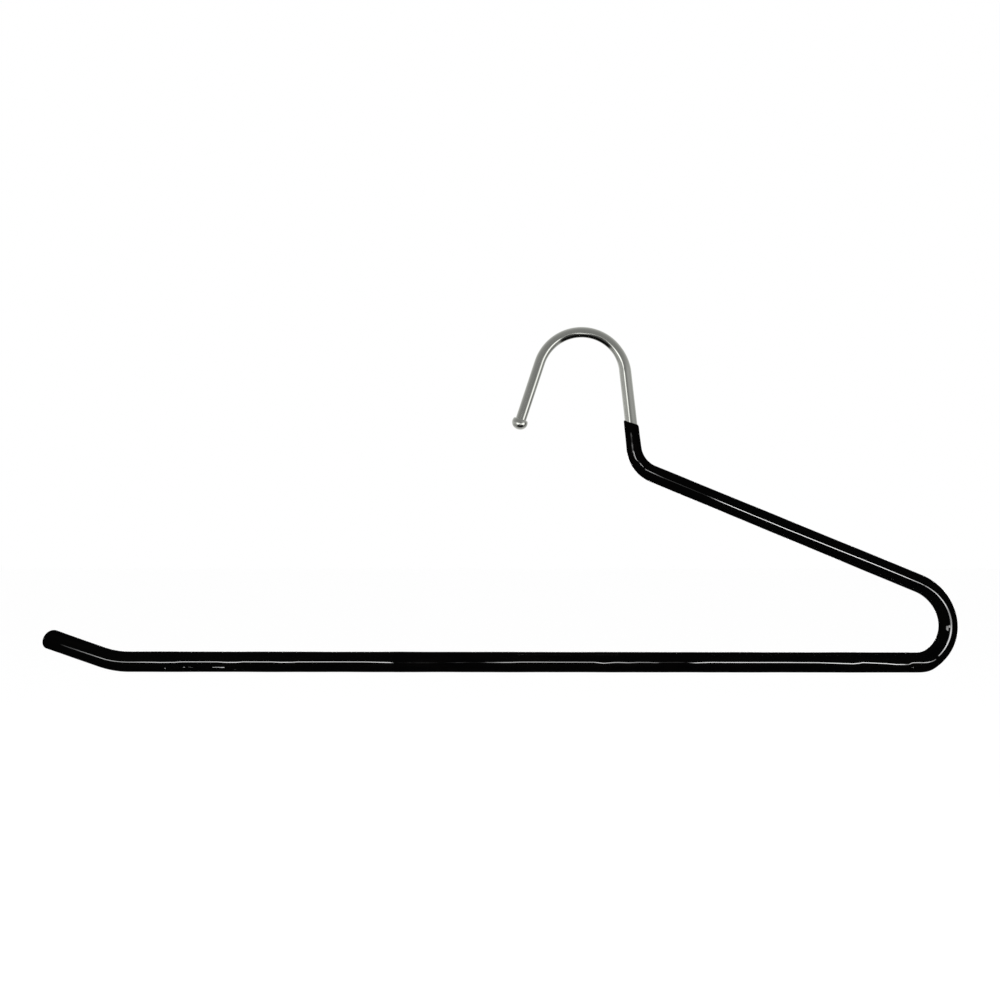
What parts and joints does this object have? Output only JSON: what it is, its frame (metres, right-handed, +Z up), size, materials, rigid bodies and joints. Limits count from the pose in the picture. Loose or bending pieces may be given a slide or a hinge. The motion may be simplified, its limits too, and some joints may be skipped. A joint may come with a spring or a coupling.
{
  "type": "trouser hanger",
  "caption": "Open-ended trouser hanger: a bent chromed wire with a rail hook and ball tip, its sloping arm, return bend and straight bar dipped in soft black plastic.",
  "frame": {"origin": "crown of the hook's inner arch, the point of the wire that sits on a rail", "axes": "+Z up as the hanger hangs, +X along the trouser bar towards the return bend, +Y through the hanger's thickness, away from the side that the picture shows"},
  "size_m": [0.3682, 0.0086, 0.1391],
  "materials": {
    "chromed_steel": "bright nickel-chrome plating on drawn steel wire, with faint lengthwise drawing lines",
    "chromed_cap": "bright nickel-chrome plating on a smooth turned cap",
    "black_pvc": "hot-dipped soft plastic, wet-looking gloss with slow waves and a few small flow marks"
  },
  "bodies": {
    "root": {"bent_wire": "chromed_steel", "hook_tip_cap": "chromed_cap", "soft_coat": "black_pvc"}
  },
  "joints": []
}
